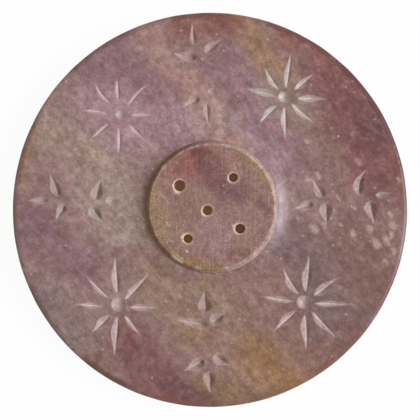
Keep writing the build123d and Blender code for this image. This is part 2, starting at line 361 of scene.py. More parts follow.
def plate_shell():
    """The carved plate: its worn face, its rim, its underside and its socket."""
    shell = Shell()
    raw, places = map_of("carved_plate", plate_radius)
    map_x, map_y = np.meshgrid(places, places)
    raw.heights[off_boss(map_x, map_y) < lip_radius + MAP_STEP] = cove_top
    raw.heights[np.hypot(map_x, map_y) > face_radius - MAP_STEP] = FACE
    worn = raw.softened(EDGE_WEAR)
    around = worn.softened(HOLLOW_REACH)
    rise_y, rise_x = np.gradient(worn.heights, MAP_STEP)
    left_share = np.clip(rise_x / (np.hypot(rise_x, rise_y) + WALL_SLOPE), 0, 1)
    faces_left = HeightMap(plate_radius, left_share)
    cuts = HeightMap(plate_radius, (raw.heights < FACE - CUT_START).astype(float))
    close = cuts.softened(CLOSE_REACH)
    nearby = cuts.softened(NEARBY_REACH)

    def surface(x, y):
        cut_x = x + WANDER * drift(x, y, WANDER_SIZE, 0.5)
        cut_y = y + WANDER * drift(x, y, WANDER_SIZE, 7.5)
        z = worn.at(cut_x, cut_y)
        hollow = around.at(cut_x, cut_y) - z
        left = faces_left.at(cut_x, cut_y)
        off_rim = np.clip((face_radius - np.hypot(x, y)) / LEVEL_BY_RIM, 0, 1)
        depth = np.clip((FACE - z) / DUST_DEPTH, 0, 1)
        diagonal = np.abs(2 * x * y) / (x**2 + y**2)
        in_flower = np.clip((diagonal - FLOWER_START) / FLOWER_FADE, 0, 1)
        return {
            "z": z + UNDULATION * off_rim * drift(x, y, UNDULATION_SIZE, 3.5),
            # dust in the cuts, thinner on walls that face left, away from the lamp: real dust with
            # painted light and shade
            "dust": depth * (1 - LEFT_WALL_PAINTED_SHADE * left) * (SPRIG_DUST + (1 - SPRIG_DUST) * in_flower),
            # painted shade: a dark colour on the cut walls that face left, away from the lamp, stronger
            # in sprigs
            "painted_shade": depth * left * (SPRIG_PAINTED_SHADE + (1 - SPRIG_PAINTED_SHADE) * in_flower),
            "crease": in_flower * np.clip(hollow / CREASE_HOLLOW, 0, 1),
            "wear": np.clip(2 * close.at(x, y), 0, 1),
        }

    def clear(x, y, gap):
        return (np.hypot(x, y) < face_radius - gap / 2) & (off_boss(x, y) > lip_radius + gap / 2)

    chosen = []
    for gap in (CUT_GAP, NEAR_GAP, OPEN_GAP):
        x, y = spread_points(plate_radius, gap)
        in_cut = close.at(x, y) > IN_CUT
        by_cut = (nearby.at(x, y) > BY_CUT) | (off_boss(x, y) < COVE_RADIUS + 1)
        wanted = {CUT_GAP: in_cut, NEAR_GAP: by_cut & ~in_cut, OPEN_GAP: ~by_cut & ~in_cut}[gap]
        keep = wanted & clear(x, y, gap)
        chosen.append((x[keep], y[keep]))
    x, y = np.hstack(chosen)

    bearings = circle(RIM_COUNT)
    rim_x, rim_y = np.cos(bearings), np.sin(bearings)
    dents = DENT * drift(rim_x * plate_radius, rim_y * plate_radius, DENT_SIZE, 1.5)
    nicks = drift(rim_x * plate_radius, rim_y * plate_radius, NICK_SIZE, 11.5)
    nicks = np.clip(nicks - NICK_RARITY, 0, 1)

    def rim_ring(radius, z, nick=0.0):
        reach = radius + dents * (radius > face_radius) - nick * nicks
        return shell.add(rim_x * reach, rim_y * reach, z - nick * nicks, wear=NICK_WEAR * nick * nicks)

    edge = rim_ring(face_radius, FACE)
    bearings = circle(LIP_COUNT)
    lip_x, lip_y = np.cos(bearings), np.sin(bearings)

    def lip_ring(radius, z, **marks):
        return shell.add(boss_x + lip_x * radius, boss_y + lip_y * radius, z, **marks)

    lip = lip_ring(lip_radius, cove_top)

    def on_face(x, y):
        return (off_boss(x, y) > lip_radius * LIP_SLACK) & (np.hypot(x, y) < plate_radius)

    shell.sheet([edge, lip], x, y, surface, on_face)

    above = edge
    for turn in (22.5, 45, 67.5, 90):
        radius = face_radius + RIM_ROUND * sin(radians(turn))
        z = FACE - RIM_ROUND * (1 - cos(radians(turn)))
        ring = rim_ring(radius, z, nick=NICK * sin(radians(2 * turn)))
        shell.band(above, ring)
        above = ring
    wall_top = FACE - RIM_ROUND
    for share in (0.8, 0.6, 0.4, 0.2, 0):
        ring = rim_ring(plate_radius, UNDERSIDE_CHAMFER + share * (wall_top - UNDERSIDE_CHAMFER))
        shell.band(above, ring)
        above = ring
    for inset in UNDERSIDE_INSETS:
        ring = rim_ring(plate_radius - inset, plate_low.z)
        shell.band(above, ring)
        above = ring
    shell.cap(above, shell.add(np.zeros(1), 0, plate_low.z)[0])

    above = lip
    for z in (FACE, socket_floor):
        ring = lip_ring(lip_radius, z)
        shell.band(ring, above)
        above = ring
    ring = lip_ring(lip_radius - 1, socket_floor, bore=1.0)
    shell.band(ring, above)
    above = ring
    middle = shell.add(np.array([boss_x]), boss_y, socket_floor, bore=1.0)[0]
    shell.cap(above[::-1], middle)
    return shell


def boss_shell():
    """The boss: its sawn top, chipped edge, flank, spigot and drilled holes."""
    shell = Shell()
    bearings = circle(BOSS_COUNT)
    ring_x, ring_y = np.cos(bearings), np.sin(bearings)
    flare = spigot_radius - BOSS_TOP_RADIUS
    rise = boss_top - cove_top
    chipped = sum(chip.reach_at(bearings) for chip in ARRIS_CHIPS)
    rough = drift(ring_x * BOSS_TOP_RADIUS, ring_y * BOSS_TOP_RADIUS, ARRIS_ROUGH_SIZE, 21.5)
    round_off = ARRIS_ROUND + chipped + ARRIS_ROUGH * np.clip(rough, -0.5, 1)
    pale = ARRIS_PALE + ARRIS_PALE_SIDE * np.cos(bearings - PALE_BEARING) + chipped + 0.5 * rough
    pale = np.clip(pale, 0, 1)

    def ring(radius, z, **marks):
        return shell.add(boss_x + ring_x * radius, boss_y + ring_y * radius, z, **marks)

    def along_edge(t):
        """A point of the rounded edge: over the top at 0 and down the flank at 1."""
        inner = BOSS_TOP_RADIUS - round_off
        outer = BOSS_TOP_RADIUS + flare * (round_off / rise)
        radius = (1 - t) ** 2 * inner + 2 * t * (1 - t) * BOSS_TOP_RADIUS + t**2 * outer
        z = boss_top - t**2 * round_off
        return radius, z

    top_edge = ring(*along_edge(0), wear=0.5 * pale)
    mouth_rings = []
    for mouth in mouths:
        turn = circle(MOUTH_COUNT)
        rim_x, rim_y = np.cos(turn), np.sin(turn)
        chips = sum(chip.reach_at(turn) for chip in mouth.chips)
        waver = drift(rim_x * mouth.radius, rim_y * mouth.radius, THROAT_WAVER_SIZE, mouth.x)
        throat = mouth.radius + THROAT_WAVER * waver
        depth = MOUTH_BREAK + CHIP_DEPTH * chips
        x = mouth.x + rim_x * throat
        y = mouth.y + rim_y * throat
        mouth_rings.append(shell.add(x, y, boss_top - depth, wear=1.0, bore=MOUTH_BORE))

    def surface(x, y):
        z = np.full(len(x), boss_top)
        wear = np.zeros(len(x))
        for mouth in mouths:
            turn = np.arctan2(y - mouth.y, x - mouth.x)
            chips = sum(chip.reach_at(turn) for chip in mouth.chips)
            reach = MOUTH_BREAK + chips
            ragged = 1 + MOUTH_RAGGED * drift(x, y, MOUTH_RAGGED_SIZE, 31.5)
            distance = np.hypot(x - mouth.x, y - mouth.y) - mouth.radius
            off = np.clip(distance / (reach * ragged), 0, 1)
            z -= (MOUTH_BREAK + CHIP_DEPTH * chips) * (1 - off) ** BREAK_CURVE
            halo = HALO_SHARE * np.clip(HALO_START - distance / (HALO_REACH * ragged), 0, 1)
            wear = np.maximum(wear, np.maximum(halo, np.clip(BREAK_PALE * (1 - off), 0, 1)))
        return {"z": z, "wear": wear}

    chosen = []
    for gap in (MOUTH_GAP, BOSS_GAP):
        x, y = spread_points(spigot_radius, gap)
        x = x + boss_x
        y = y + boss_y
        by_mouth = off_mouths(x, y) < BY_MOUTH
        turn = np.arctan2(y - boss_y, x - boss_x) % (2 * pi)
        room = BOSS_TOP_RADIUS - np.interp(turn, bearings, round_off)
        keep = (by_mouth if gap == MOUTH_GAP else ~by_mouth) & (off_mouths(x, y) > MOUTH_CLEAR)
        keep &= off_boss(x, y) < room - gap / 2
        chosen.append((x[keep], y[keep]))
    x, y = np.hstack(chosen)

    def on_stone(x, y):
        return off_mouths(x, y) > -MOUTH_SLACK

    shell.sheet([top_edge, *mouth_rings], x, y, surface, on_stone)

    above = top_edge
    for t in (0.25, 0.5, 0.75, 1):
        below = ring(*along_edge(t), wear=pale)
        shell.band(above, below)
        above = below
    start_radius, start_z = along_edge(1)
    for share in (0.25, 0.5, 0.75, 1):
        bulge = drift(ring_x * FLANK_UNEVEN_ROUND, ring_y * FLANK_UNEVEN_ROUND, FLANK_UNEVEN_SIZE, share)
        uneven = FLANK_UNEVEN * sin(pi * share) * bulge
        radius = start_radius + share * (spigot_radius - start_radius) + uneven
        below = ring(radius, start_z + share * (cove_top - start_z))
        shell.band(above, below)
        above = below
    for inset, z in ((0, socket_floor + SPIGOT_CHAMFER), (SPIGOT_CHAMFER, socket_floor)):
        below = ring(spigot_radius - inset, z)
        shell.band(above, below)
        above = below

    foot_rings = []
    for mouth, upper in zip(mouths, mouth_rings):
        turn = circle(MOUTH_COUNT)
        wall_x, wall_y = np.cos(turn), np.sin(turn)
        last = upper
        for share in (0.25, 0.5, 0.75, 1):
            z = boss_top + share * (socket_floor - boss_top)
            reach = mouth.radius + BORE_WAVER * drift(wall_x, wall_y, BORE_WAVER_SIZE, z)
            lower = shell.add(mouth.x + wall_x * reach, mouth.y + wall_y * reach, z, bore=1.0)
            shell.band(lower, last)
            last = lower
        foot_rings.append(last)
    x, y = spread_points(spigot_radius, FOOT_GAP)
    x = x + boss_x
    y = y + boss_y
    keep = (off_boss(x, y) < spigot_radius - 1) & (off_mouths(x, y) > FOOT_CLEAR)

    def foot(x, y):
        return {"z": np.full(len(x), socket_floor)}

    shell.sheet([above, *foot_rings], x[keep], y[keep], foot, on_stone, up=False)
    return shell


def seen(red, green, blue):
    """A colour written as it shows on a screen, from 0 to 255, as the shader wants it."""
    linear = []
    for value in (red / 255, green / 255, blue / 255):
        linear.append(value / 12.92 if value < 0.04045 else ((value + 0.055) / 1.055) ** 2.4)
    return (*linear, 1.0)


@dataclass
class Vein:
    """A soft band of colour in the stone, from one place to another on the face, in mm."""

    start: tuple
    end: tuple
    width: float
    colour: tuple
    strength: float = 0.9


# The stone's colours
GREY_MAUVE = (146, 116, 111)
MAUVE = (144, 108, 114)
DEEP_MAUVE = (128, 95, 101)
PALE_MAUVE = (164, 132, 136)
OLIVE = (161, 137, 123)
DULL_OLIVE = (144, 117, 96)
AMBER = (146, 110, 73)
TAN = (148, 114, 87)
PINK_TAN = (168, 130, 120)
MAROON = (120, 74, 73)
DARK_MAROON = (102, 65, 64)
RED_BROWN = (134, 86, 78)
UMBER = (122, 89, 80)
RUST = (126, 79, 65)
DUSK = (118, 103, 97)
SLATE = (120, 94, 93)
BEIGE = (198, 170, 154)
WARM_GREY = (140, 106, 97)
GREY_OLIVE = (157, 138, 125)
LILAC = (168, 144, 151)
BROWN = (130, 97, 88)
GOLD = (130, 99, 71)
PALE_TAN = (172, 146, 140)

PLATE_VEINS = [
    Vein((-28, 40), (-10, 24), 8, MAUVE),
    Vein((-34, 36), (-19, 46), 4, DEEP_MAUVE, 0.45),
    Vein((-24, 19), (-8, 21), 7, PALE_MAUVE, 0.9),
    Vein((-30, 28), (-21, 24), 6, PALE_MAUVE, 0.85),
    Vein((-17, 46), (0, 27), 3.2, PINK_TAN, 0.8),
    Vein((-6, 29), (8, 15), 3, PINK_TAN),
    Vein((8, 24), (17, 13), 3.5, LILAC, 0.7),
    Vein((-4, 23), (5, 22.5), 4, PALE_TAN, 0.45),
    Vein((3, 39), (20, 12), 5, MAUVE, 0.75),
    Vein((6, 49), (19, 34), 4.5, TAN),
    Vein((22, 27), (34, 11), 3.2, DULL_OLIVE, 0.7),
    Vein((31, 32), (43, 10), 9, MAROON, 1.0),
    Vein((26, 12), (34, 2), 5, BROWN, 0.45),
    Vein((38, 24), (45, 14), 4, DARK_MAROON, 0.8),
    Vein((-7, 47), (4, 46), 4, RED_BROWN),
    Vein((20, 45), (30, 40), 4, RED_BROWN),
    Vein((-43, 22), (-24, 8), 5.5, OLIVE, 0.85),
    Vein((-24, 5), (-14, -18), 5, DULL_OLIVE, 0.25),
    Vein((-23, 6), (-20, -5), 5, GREY_OLIVE, 0.75),
    Vein((-33, 10), (-25, -5), 4.5, OLIVE, 0.6),
    Vein((-14, -18), (-6, -29), 6, DULL_OLIVE),
    Vein((-5, -31), (6, -36), 5, AMBER, 0.35),
    Vein((18, -20), (33, -36), 15, BROWN, 0.9),
    Vein((15, -39), (26, -49), 9, AMBER, 1.0),
    Vein((0, -45), (9, -48), 4.5, GOLD, 0.85),
    Vein((-2, -19), (6, -28), 4.5, DULL_OLIVE, 0.9),
    Vein((-45, -2), (-33, -15), 5.5, DEEP_MAUVE, 0.85),
    Vein((-47, 20), (-48, 7), 3, TAN, 0.7),
    Vein((-46, -22), (-31, -41), 7, DUSK, 0.65),
    Vein((-28, -41), (-18, -46), 5, BROWN, 0.75),
    Vein((-21, -33), (-9, -46), 6, MAROON, 0.85),
    Vein((-10, -45), (0, -49), 3, DARK_MAROON, 0.8),
    Vein((23, -11), (38, -36), 8, SLATE, 1.0),
    Vein((36, -7), (45, -22), 7, UMBER),
    Vein((47, 14), (49, 2), 3, RED_BROWN, 0.6),
    Vein((43, 4), (46, -5), 4, UMBER, 0.6),
    Vein((36, -31), (26, -42), 4, RUST, 0.4),
    Vein((8, -16), (18, -17), 5, WARM_GREY, 0.8),
    Vein((12, -20), (25, -38), 5, WARM_GREY, 0.75),
    Vein((17, 30), (22, 25), 6, GREY_OLIVE, 0.4),
]

# Where the stone is full of fine pale specks
SPECKLED = Vein((29, -3), (45, -6), 8, BEIGE, 0.6)

# Pale grains that show one by one, most of them on the right
PALE_GRAINS = [
    Vein((26.1, -4.5), (26.5, -5.3), 0.7, BEIGE, 0.8),
    Vein((36.0, -5.8), (36.2, -6.5), 0.6, BEIGE, 0.8),
    Vein((28.7, -3.5), (29.0, -4.3), 0.35, BEIGE, 0.7),
    Vein((32.8, -3.7), (33.2, -4.1), 0.35, BEIGE, 0.7),
    Vein((39.8, -4.6), (40.7, -5.0), 0.6, BEIGE, 0.7),
    Vein((46.0, -3.8), (46.6, -4.4), 0.6, BEIGE, 0.8),
    Vein((41.9, -8.4), (42.3, -9.2), 0.75, BEIGE, 0.8),
    Vein((44.5, -7.3), (45.1, -8.1), 0.65, BEIGE, 0.8),
    Vein((46.4, -10.2), (46.8, -10.9), 0.5, BEIGE, 0.7),
    Vein((45.4, -1.0), (45.8, -1.7), 0.45, BEIGE, 0.8),
    Vein((44.2, -12.9), (44.6, -13.7), 0.5, BEIGE, 0.6),
    Vein((35.9, 0.9), (36.9, 0.1), 0.25, BEIGE, 0.7),
    Vein((32.2, 3.3), (33.0, 2.3), 0.25, BEIGE, 0.7),
    Vein((27.0, 9.1), (27.6, 8.1), 0.45, BEIGE, 0.8),
    Vein((24.5, 7.5), (25.3, 7.4), 0.4, BEIGE, 0.7),
    Vein((37.3, 12.6), (38.1, 11.6), 0.5, BEIGE, 0.5),
    Vein((22.0, -2.1), (22.4, -2.5), 0.3, BEIGE, 0.6),
    Vein((45.8, -6.2), (46.0, -6.8), 0.5, BEIGE, 0.8),
    Vein((24.3, 17.4), (24.7, 17.0), 0.4, BEIGE, 0.7),
    Vein((47.6, 7.8), (48.2, 7.3), 0.4, BEIGE, 0.8),
]

# Mottling, streaks, specks and pits of the plate, with scales per mm and shares
MAUVE_MOTTLE = (156, 114, 119)
OLIVE_MOTTLE = (148, 125, 100)
MOTTLE_SCALE = 0.45
MOTTLE_SHARE = 0.5
STREAK_SCALE = 0.8
STREAK_STRETCH = 0.12
STREAK_GAIN = 0.07
GRAIN_STRETCH = 0.8
PLATE_SPECK = (190, 162, 154)
PLATE_SPECK_SHARE = 0.65
PLATE_PIT = (88, 62, 58)
PIT_SHARE = 0.4

# The boss's stone, with the gain of the saw's dark and light lines
BOSS_STONE = (149, 113, 104)
SAW_DARK = (0.87, 0.83, 0.82)
SAW_LIGHT = (1.11, 1.15, 1.16)
SAW_SCALE = 2.6
SAW_RELIEF = 1.5
BOSS_OLIVE = (146, 118, 92)
# Flank colours: paler on the right, towards the lamp, and darker on the left, a painted light and a
# painted shade over the flank's pale stone
BOSS_FLANK_PAINTED_LIGHT = (196, 172, 166)
BOSS_FLANK_PAINTED_SHADE = (148, 117, 98)
BOSS_FLANK_SHARE = 0.85
BOSS_SPECK = (196, 168, 156)
BOSS_SPECK_SHARE = 0.5
BOSS_PIT = (92, 60, 54)
BOSS_RUB = (228, 202, 184)

# Drill dust in the holes, and the boss's veins and scratches, measured from its middle
BORE_DUST = (217, 180, 142)
BORE_TINTS = [
    Vein((-8.3, 5.3), (-8.2, 5.3), 2, (200, 160, 136)),
    Vein((7, -5.5), (7.1, -5.5), 2, (198, 156, 144)),
    Vein((-6.1, -8), (-6, -8), 2, (214, 186, 116)),
]
BOSS_VEINS = [
    Vein((-7, 10), (-1, 11), 4, (136, 80, 72), 0.9),
    # Painted shade: a dark line along the lower left edge, which faces away from the lamp
    Vein((-14, -8), (-9.5, -12.8), 1.0, (104, 78, 66), 0.7),
    Vein((-3, 14), (-1.6, 11), 2.2, (100, 50, 50), 0.9),
    Vein((0, 9), (6, 3), 4, (118, 80, 80), 0.9),
    Vein((-15.4, 3), (-13.8, -7), 2.6, (152, 124, 94), 0.8),
    Vein((-13, -7), (-10, -9), 3, (148, 122, 98), 0.6),
    Vein((-9, -12.6), (2, -15.2), 1.8, (142, 110, 68), 0.85),
    Vein((9, 13.4), (14.2, 7.2), 1.6, (146, 118, 84), 0.8),
    Vein((5.2, -12.6), (9, -11.6), 1, (118, 74, 58), 0.7),
    Vein((15.5, 5), (15.6, 2), 0.7, (150, 96, 82), 0.7),
    Vein((0, -6), (4, -9), 3.6, (152, 120, 118), 0.7),
    Vein((12.5, 1.5), (14.5, -2), 1.4, (116, 82, 80), 0.7),
    Vein((-9, 2), (-6, -2), 3, (136, 104, 92), 0.6),
]
BOSS_SCRATCHES = [
    Vein((-13.6, 4.1), (-10.8, 0.6), 0.12, (200, 174, 158), 0.6),
    Vein((-11.7, -3.8), (-10.7, -4.9), 0.16, (200, 178, 162), 0.6),
    Vein((-11.0, -8.2), (-9.9, -8.9), 0.18, (200, 178, 162), 0.5),
    Vein((-6.5, -11.0), (-6.3, -11.4), 0.24, (222, 204, 188), 0.8),
    Vein((1.8, -6.2), (2.2, -7.0), 0.18, (194, 170, 158), 0.5),
]

# Grain: the scale of each layer, per mm, and how far it lightens and darkens the stone
PLATE_GRAIN = [(0.2, 0.11), (0.45, 0.14), (0.9, 0.1), (1.6, 0.09), (3.2, 0.06)]
BOSS_GRAIN = [(0.4, 0.1), (0.9, 0.13), (1.6, 0.12), (3.2, 0.12)]
GRAIN_SHARE = (1.0, 1.25, 1.3)

# Stains round the rim: where they start, and the bearing, half spread, colour and strength of each
STAIN_START = 48.2
STAIN_FULL = 49.0
STAIN_RAGGED = 2.0
RIM_STAINS = [
    (8, 12, (112, 68, 62), 0.55),
    (35, 16, (96, 54, 50), 0.85),
    (62, 12, (104, 62, 56), 0.8),
    (83, 3, (150, 108, 64), 0.7),
    (93, 9, (116, 68, 60), 0.7),
    (122, 12, (116, 78, 72), 0.6),
    (163, 12, (112, 78, 72), 0.6),
    (182, 10, (110, 84, 80), 0.6),
    (212, 8, (100, 74, 68), 0.6),
    (231, 1.5, (112, 112, 64), 0.8),
    (238, 8, (98, 62, 52), 0.8),
    (262, 9, (122, 76, 62), 0.7),
    (291, 7, (122, 86, 56), 0.6),
    (311, 11, (122, 76, 60), 0.55),
    (338, 8, (118, 70, 60), 0.5),
]

# Dust in the cuts, painted shade on the cut walls that face left, away from the lamp, and places where
# the dust is paler chalk
CUT_DUST = (198, 173, 166)
DULL_DUST = (158, 142, 130)
PAINTED_SHADE_COLOUR = (92, 74, 66)
PAINTED_SHADE_SHARE = 0.25
CUT_POLISH = 0.14
CUT_EDGE_ROUGHNESS = 0.2
CREASE_CHALK = (216, 198, 192)
CREASE_SHARE = 0.8
CHALK = (200, 190, 182)
WHITE_CHALK = (210, 203, 192)
CHALKY_PLACES = [
    Vein((-46, 2), (-36, 2), 6, DULL_DUST, 0.8),
    Vein((18, 28), (19, 28), 8, WHITE_CHALK, 0.7),
    Vein((27, 2), (43, 4), 5, CHALK, 0.25),
    Vein((-24, -1), (-42, 1), 5, CHALK, 0.55),
]

# Wax: its gloss, its roughness from the smoothest to the roughest place, and the stone's fine relief
WAX_SPECULAR = 0.32
PLATE_ROUGHNESS = (0.29, 0.38)
BOSS_ROUGHNESS = (0.42, 0.58)
RELIEF_SCALE = 2.6
RELIEF_DEPTH = 0.02
PLATE_RELIEF = 0.5
BOSS_RELIEF = 0.6

# How far noise bends the veins, and how far it frays the edges of grains and dust, in mm
BROAD_BEND = 9.0
TIGHT_BEND = 3.0
FRAY = 1.4
FLECK_FRAY = 0.6

# Parts of a place or of a noise colour
FLAT = (1.0, 1.0, 0.0)
HALF = (0.5, 0.5, 0.5)
WHITE = (1.0, 1.0, 1.0, 1.0)


class Graph:
    """Adds nodes and links to one material or world."""

    def __init__(self, owner):
        owner.use_nodes = True
        self.tree = owner.node_tree
        self.tree.nodes.clear()

    def node(self, kind, inputs=None, **settings):
        """A new node with its settings, and with values or links for its inputs."""
        made = self.tree.nodes.new(kind)
        for name, value in settings.items():
            setattr(made, name, value)
        for key, value in (inputs or {}).items():
            if isinstance(value, bpy.types.NodeSocket):
                self.tree.links.new(value, made.inputs[key])
            else:
                made.inputs[key].default_value = value
        return made

    def math(self, operation, a, b=0.0, clamp=False):
        return self.node("ShaderNodeMath", {0: a, 1: b}, operation=operation, use_clamp=clamp).outputs[0]

    def vector(self, operation, a, b=(0.0, 0.0, 0.0)):
        return self.node("ShaderNodeVectorMath", {0: a, 1: b}, operation=operation).outputs[0]

    def dot(self, a, b):
        return self.node("ShaderNodeVectorMath", {0: a, 1: b}, operation="DOT_PRODUCT").outputs["Value"]

    def length(self, a):
        return self.node("ShaderNodeVectorMath", {0: a}, operation="LENGTH").outputs["Value"]

    def scaled(self, a, factor):
        inputs = {0: a, "Scale": factor}
        return self.node("ShaderNodeVectorMath", inputs, operation="SCALE").outputs[0]

    def mix(self, factor, a, b):
        inputs = {"Factor": factor, 6: a, 7: b}
        return self.node("ShaderNodeMix", inputs, data_type="RGBA").outputs[2]

    def gained(self, colour, share, low, high):
        """The colour times a gain for red, green and blue that goes from low to high with a share."""
        gain = self.mix(share, (*low, 1.0), (*high, 1.0))
        inputs = {"Factor": 1.0, 6: colour, 7: gain}
        return self.node("ShaderNodeMix", inputs, data_type="RGBA", blend_type="MULTIPLY").outputs[2]

    def fade(self, value, low, high, to_low=0.0, to_high=1.0):
        """A smooth step from one value to another."""
        inputs = {"Value": value, "From Min": low, "From Max": high, "To Min": to_low, "To Max": to_high}
        return self.node("ShaderNodeMapRange", inputs, interpolation_type="SMOOTHSTEP").outputs[0]

    def noise(self, place, scale, detail=2.0, rough=0.5, output="Fac"):
        inputs = {"Vector": place, "Scale": scale, "Detail": detail, "Roughness": rough}
        return self.node("ShaderNodeTexNoise", inputs).outputs[output]

    def mark(self, name):
        return self.node("ShaderNodeAttribute", attribute_name=name).outputs["Fac"]

    def axis(self, place, name):
        return self.node("ShaderNodeSeparateXYZ", {0: place}).outputs[name]

    def looked_at(self):
        """Whether a ray comes from the camera, a reflection or a clear piece."""
        ray = self.node("ShaderNodeLightPath").outputs
        bounced = self.math("MAXIMUM", ray["Is Glossy Ray"], ray["Is Transmission Ray"])
        return self.math("MAXIMUM", ray["Is Camera Ray"], bounced)


def vein_share(graph, place, vein, none=1.5, full=0.2):
    """How much of a vein shows at a place: none and full at those multiples of its width."""
    start = Vector((*vein.start, 0))
    run = Vector((*vein.end, 0)) - start
    from_start = graph.vector("SUBTRACT", place, start)
    along = graph.math("MAXIMUM", graph.dot(from_start, run / run.length_squared), 0.0)
    along = graph.math("MINIMUM", along, 1.0)
    off = graph.length(graph.vector("SUBTRACT", from_start, graph.scaled(run, along)))
    return graph.fade(off, vein.width * none, vein.width * full, 0.0, vein.strength)


def stone_base(graph, place, base, veins):
    """The figured colour of the stone, before grain and wear."""
    level = graph.vector("MULTIPLY", place, (1.0, 1.0, 0.25))
    broad = graph.vector("SUBTRACT", graph.noise(level, 0.08, 2, output="Color"), HALF)
    tight = graph.vector("SUBTRACT", graph.noise(level, 0.4, 3, output="Color"), HALF)
    bent = graph.vector("ADD", place, graph.scaled(broad, BROAD_BEND))
    bent = graph.vector("ADD", bent, graph.scaled(tight, TIGHT_BEND))
    bent = graph.vector("MULTIPLY", bent, FLAT)
    colour = seen(*base)
    for vein in veins:
        colour = graph.mix(vein_share(graph, bent, vein), colour, seen(*vein.colour))
    return colour


def grained(graph, place, colour, layers):
    """The colour made lighter and darker by layers of noise."""
    for scale, amount in layers:
        share = graph.fade(graph.noise(place, scale, 3, 0.6), 0.28, 0.72)
        low = [1 - amount * part for part in GRAIN_SHARE]
        high = [1 + amount * part for part in GRAIN_SHARE]
        colour = graph.gained(colour, share, low, high)
    return colour


def drawn_out(graph, place, share):
    """Places for noise that runs in streaks from the upper left to the lower right."""
    along = graph.math("MULTIPLY", graph.dot(place, (0.64, -0.77, 0.0)), share)
    across = graph.dot(place, (0.77, 0.64, 0.0))
    level = graph.axis(place, "Z")
    return graph.node("ShaderNodeCombineXYZ", {0: along, 1: across, 2: level}).outputs[0]


def frayed(graph, place):
    """Flat places shifted about by noise, for ragged edges."""
    shift = graph.vector("SUBTRACT", graph.noise(place, 0.9, 3, output="Color"), HALF)
    moved = graph.vector("ADD", place, graph.scaled(shift, FRAY))
    return graph.vector("MULTIPLY", moved, FLAT)


def flecks(graph, place, scale, size, share):
    """Ragged specks of a size in mm, in that share of the cells of a random pattern."""
    shift = graph.scaled(graph.noise(place, 2.0, 2, output="Color"), FLECK_FRAY)
    ragged = graph.vector("ADD", place, shift)
    cells = graph.node("ShaderNodeTexVoronoi", {"Vector": ragged, "Scale": scale})
    dot = graph.fade(cells.outputs["Distance"], size * scale, 0.4 * size * scale)
    lot = graph.node("ShaderNodeSeparateColor", {"Color": cells.outputs["Color"]}).outputs[0]
    return graph.math("MULTIPLY", dot, graph.math("LESS_THAN", lot, share))


def finished(graph, colour, roughness, height, bump):
    """Joins colour, roughness and relief in one shader."""
    inputs = {"Strength": bump, "Distance": RELIEF_DEPTH * MM, "Height": height}
    relief = graph.node("ShaderNodeBump", inputs)
    shader = graph.node(
        "ShaderNodeBsdfPrincipled",
        {
            "Base Color": colour,
            "Roughness": roughness,
            "Specular IOR Level": WAX_SPECULAR,
            "Normal": relief.outputs[0],
        },
    )
    output = graph.node("ShaderNodeOutputMaterial")
    graph.tree.links.new(shader.outputs[0], output.inputs["Surface"])


def place_in_mm(graph):
    return graph.scaled(graph.node("ShaderNodeTexCoord").outputs["Object"], 1 / MM)


def rim_stained(graph, place, colour):
    """The colour with wax and dirt darkened along the rim."""
    flat = graph.vector("MULTIPLY", place, FLAT)
    ragged = graph.math("SUBTRACT", graph.noise(place, 0.6, 3), 0.5)
    ragged = graph.math("MULTIPLY", ragged, STAIN_RAGGED)
    band = graph.fade(graph.math("ADD", graph.length(flat), ragged), STAIN_START, STAIN_FULL)
    level = graph.axis(place, "Z")
    band = graph.math("MULTIPLY", band, graph.fade(level, FACE - 3, FACE - RIM_ROUND))
    way = graph.vector("NORMALIZE", flat)
    stained = seen(*RIM_STAINS[0][2])
    cover = 0.0
    for bearing, spread, stain, strength in RIM_STAINS:
        aim = (cos(radians(bearing)), sin(radians(bearing)), 0.0)
        edge = cos(radians(1.4 * spread))
        full = cos(radians(0.6 * spread))
        share = graph.fade(graph.dot(way, aim), edge, full)
        stained = graph.mix(share, stained, seen(*stain))
        cover = graph.math("MAXIMUM", graph.math("MULTIPLY", share, strength), cover)
    return graph.mix(graph.math("MULTIPLY", cover, band), colour, stained)


def bore_dusted(graph, place, colour):
    """The colour with dust from the drill in the stick holes."""
    local = graph.vector("SUBTRACT", place, (boss_x, boss_y, 0.0))
    flat = graph.vector("MULTIPLY", local, FLAT)
    dust = seen(*BORE_DUST)
    for tint in BORE_TINTS:
        dust = graph.mix(vein_share(graph, flat, tint), dust, seen(*tint.colour))
    return graph.mix(graph.mark("bore"), colour, dust)


def specked(graph, place, ragged, colour):
    """The plate's colour with fine specks, single pale grains and dark pits."""
    crowd = graph.fade(graph.noise(place, 0.1, 2), 0.45, 0.7, 0.05, 0.35)
    crowd = graph.math("MAXIMUM", crowd, vein_share(graph, ragged, SPECKLED))
    specks = flecks(graph, place, 0.55, 0.46, crowd)
    specks = graph.math("MULTIPLY", specks, PLATE_SPECK_SHARE)
    colour = graph.mix(specks, colour, seen(*PLATE_SPECK))
    pale = 0.0
    for grain in PALE_GRAINS:
        pale = graph.math("MAXIMUM", vein_share(graph, ragged, grain, 2.0, 0.1), pale)
    upper = graph.fade(graph.axis(place, "Z"), FACE - 6, FACE - 2)
    worn = graph.fade(graph.noise(place, 1.8, 3), 0.3, 0.6, 0.45, 1.0)
    pale = graph.math("MULTIPLY", pale, worn)
    colour = graph.mix(graph.math("MULTIPLY", pale, upper), colour, seen(*BEIGE))
    pits = flecks(graph, place, 0.45, 0.35, 0.2)
    return graph.mix(graph.math("MULTIPLY", pits, PIT_SHARE), colour, seen(*PLATE_PIT))


